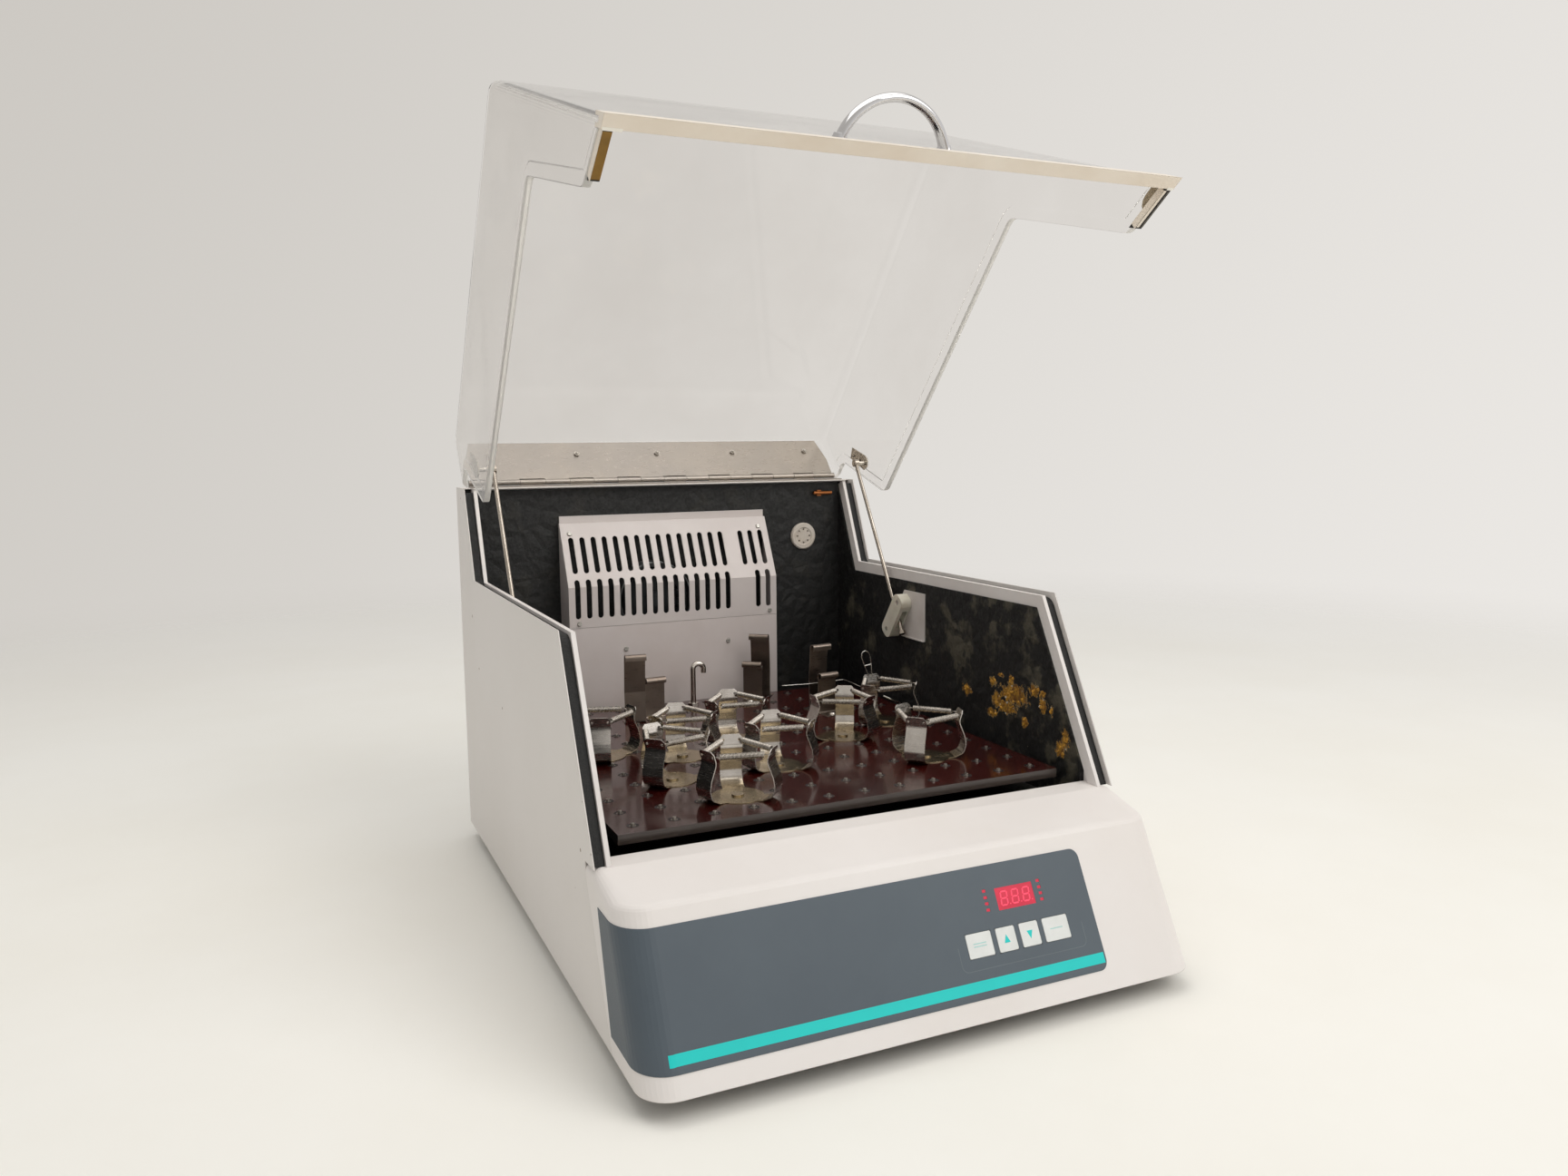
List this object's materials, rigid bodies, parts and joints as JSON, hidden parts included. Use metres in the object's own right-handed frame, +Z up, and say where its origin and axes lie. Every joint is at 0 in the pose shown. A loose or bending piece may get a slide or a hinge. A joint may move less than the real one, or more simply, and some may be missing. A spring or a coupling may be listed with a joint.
{
  "type": "incubated benchtop shaker",
  "caption": "Benchtop incubator shaker with a hinged clear lid on two stays, a crank-driven orbiting platform with spring flask clamps, a blower and a keypad panel.",
  "frame": {"origin": "on the bench plane, on the axis of the main drive shaft, midway between the side panels", "axes": "+X to the operator's right, +Y towards the back, +Z up"},
  "size_m": [0.5245, 0.7437, 0.8472],
  "materials": {
    "left_side_panel": "satin",
    "right_side_panel": "satin",
    "rear_cover": "satin",
    "base_pan": "satin",
    "front_bezel": "satin",
    "chamber_liner": "satin",
    "wall_insulation": "foam",
    "chamber_floor": "satin",
    "channel_weatherstrips": "matte",
    "rubber_feet": "matte",
    "cabinet_screws": "satin",
    "control_overlay": "satin",
    "display_window": "gloss",
    "key_start_stop": "satin",
    "key_up": "satin",
    "key_down": "satin",
    "key_select": "satin",
    "display_board": "satin",
    "control_board": "satin",
    "power_inlet": "satin",
    "power_rocker": "gloss",
    "blower_cover": "satin",
    "blower_lower_panel": "satin",
    "blower_housing": "satin",
    "blower_impeller": "satin",
    "blower_motor": "satin",
    "heater_element": "satin",
    "temperature_probe": "satin",
    "vent_plug": "satin",
    "drive_frame": "painted",
    "shaft_bearings": "satin",
    "main_crankshaft": "satin",
    "counterweight": "satin",
    "driven_pulley": "satin",
    "drive_belt": "matte",
    "drive_motor": "satin",
    "motor_pulley": "satin",
    "idler_crank_left": "satin",
    "idler_crank_right": "satin",
    "carrier_plate": "satin",
    "carrier_bearings": "satin",
    "platform": "gloss",
    "platform_screws": "satin",
    "flask_clamps": "polished",
    "clamp_springs": "satin",
    "rack_clips": "satin",
    "hook_rod": "satin",
    "hinge_body_leaf": "satin",
    "hinge_lid_leaf": "satin",
    "hinge_pin": "satin",
    "lid_shell": "clear",
    "lid_front_trim": "satin",
    "lid_gasket": "matte",
    "lid_handle": "polished",
    "lid_screws": "satin",
    "stay_lid_brackets": "satin",
    "stay_rod_left": "satin",
    "stay_rod_right": "satin",
    "stay_guides": "satin",
    "stay_wall_plates": "satin"
  },
  "bodies": {
    "cabinet": {"left_side_panel": "left_side_panel", "right_side_panel": "right_side_panel", "rear_cover": "rear_cover", "base_pan": "base_pan", "front_bezel": "front_bezel", "chamber_liner": "chamber_liner", "wall_insulation": "wall_insulation", "chamber_floor": "chamber_floor", "channel_weatherstrips": "channel_weatherstrips", "rubber_feet": "rubber_feet", "cabinet_screws": "cabinet_screws", "control_overlay": "control_overlay", "display_window": "display_window", "display_board": "display_board", "control_board": "control_board", "power_inlet": "power_inlet", "blower_cover": "blower_cover", "blower_lower_panel": "blower_lower_panel", "blower_housing": "blower_housing", "blower_motor": "blower_motor", "heater_element": "heater_element", "temperature_probe": "temperature_probe", "vent_plug": "vent_plug", "drive_frame": "drive_frame", "shaft_bearings": "shaft_bearings", "drive_belt": "drive_belt", "drive_motor": "drive_motor", "hinge_body_leaf": "hinge_body_leaf", "hinge_pin": "hinge_pin", "stay_guides": "stay_guides", "stay_wall_plates": "stay_wall_plates"},
    "start_key": {"key_start_stop": "key_start_stop"},
    "up_key": {"key_up": "key_up"},
    "down_key": {"key_down": "key_down"},
    "select_key": {"key_select": "key_select"},
    "rocker": {"power_rocker": "power_rocker"},
    "fan": {"blower_impeller": "blower_impeller"},
    "crank": {"main_crankshaft": "main_crankshaft", "counterweight": "counterweight", "driven_pulley": "driven_pulley"},
    "motor_rotor": {"motor_pulley": "motor_pulley"},
    "left_idler": {"idler_crank_left": "idler_crank_left"},
    "right_idler": {"idler_crank_right": "idler_crank_right"},
    "shaking_platform": {"carrier_plate": "carrier_plate", "carrier_bearings": "carrier_bearings", "platform": "platform", "platform_screws": "platform_screws", "flask_clamps": "flask_clamps", "clamp_springs": "clamp_springs", "rack_clips": "rack_clips", "hook_rod": "hook_rod"},
    "lid": {"lid_shell": "lid_shell", "lid_front_trim": "lid_front_trim", "lid_gasket": "lid_gasket", "lid_handle": "lid_handle", "lid_screws": "lid_screws", "hinge_lid_leaf": "hinge_lid_leaf", "stay_lid_brackets": "stay_lid_brackets"},
    "left_stay": {"stay_rod_left": "stay_rod_left"},
    "right_stay": {"stay_rod_right": "stay_rod_right"}
  },
  "joints": [
    {"name": "lid_hinge", "type": "hinge", "parent": "cabinet", "child": "lid", "pos_m": [0, 0.315, 0.4465], "axis": [1, 0, 0], "range_deg": [0, 48.4]},
    {"name": "left_stay_pivot", "type": "hinge", "parent": "lid", "child": "left_stay", "pos_m": [-0.2365, 0.22498, 0.46502], "axis": [1, 0, 0], "range_deg": [-66, 0]},
    {"name": "right_stay_pivot", "type": "hinge", "parent": "lid", "child": "right_stay", "pos_m": [0.2365, 0.22498, 0.46502], "axis": [1, 0, 0], "range_deg": [-66, 0]},
    {"name": "crank_spin", "type": "hinge", "parent": "cabinet", "child": "crank", "pos_m": [0, 0, 0.06], "axis": [0, 0, 1], "continuous": true},
    {"name": "platform_orbit", "type": "hinge", "parent": "crank", "child": "shaking_platform", "pos_m": [0, 0.0127, 0.14], "axis": [0, 0, 1], "continuous": true},
    {"name": "left_idler_spin", "type": "hinge", "parent": "cabinet", "child": "left_idler", "pos_m": [-0.15, 0.1, 0.07], "axis": [0, 0, 1], "continuous": true},
    {"name": "right_idler_spin", "type": "hinge", "parent": "cabinet", "child": "right_idler", "pos_m": [0.15, 0.1, 0.07], "axis": [0, 0, 1], "continuous": true},
    {"name": "motor_spin", "type": "hinge", "parent": "cabinet", "child": "motor_rotor", "pos_m": [0, -0.15, 0.08], "axis": [0, 0, 1], "continuous": true},
    {"name": "fan_spin", "type": "hinge", "parent": "cabinet", "child": "fan", "pos_m": [-0.03, 0.27, 0.296], "axis": [0, 1, 0], "continuous": true},
    {"name": "rocker_tip", "type": "hinge", "parent": "cabinet", "child": "rocker", "pos_m": [0.172, 0.328, 0.077], "axis": [1, 0, 0], "range_deg": [0, 14]},
    {"name": "start_key_press", "type": "slide", "parent": "cabinet", "child": "start_key", "axis": [0, 0.8868, -0.4622], "range_m": [0, 0.0006], "stiffness_N_per_m": 2000},
    {"name": "up_key_press", "type": "slide", "parent": "cabinet", "child": "up_key", "axis": [0, 0.8868, -0.4622], "range_m": [0, 0.0006], "stiffness_N_per_m": 2000},
    {"name": "down_key_press", "type": "slide", "parent": "cabinet", "child": "down_key", "axis": [0, 0.8868, -0.4622], "range_m": [0, 0.0006], "stiffness_N_per_m": 2000},
    {"name": "select_key_press", "type": "slide", "parent": "cabinet", "child": "select_key", "axis": [0, 0.8868, -0.4622], "range_m": [0, 0.0006], "stiffness_N_per_m": 2000}
  ],
  "couplings": [
    {"joint": "left_stay_pivot", "follows": "lid_hinge", "ratio": -1.34},
    {"joint": "right_stay_pivot", "follows": "lid_hinge", "ratio": -1.34},
    {"joint": "platform_orbit", "follows": "crank_spin", "ratio": -1},
    {"joint": "left_idler_spin", "follows": "crank_spin", "ratio": 1},
    {"joint": "right_idler_spin", "follows": "crank_spin", "ratio": 1},
    {"joint": "motor_spin", "follows": "crank_spin", "ratio": 3}
  ]
}
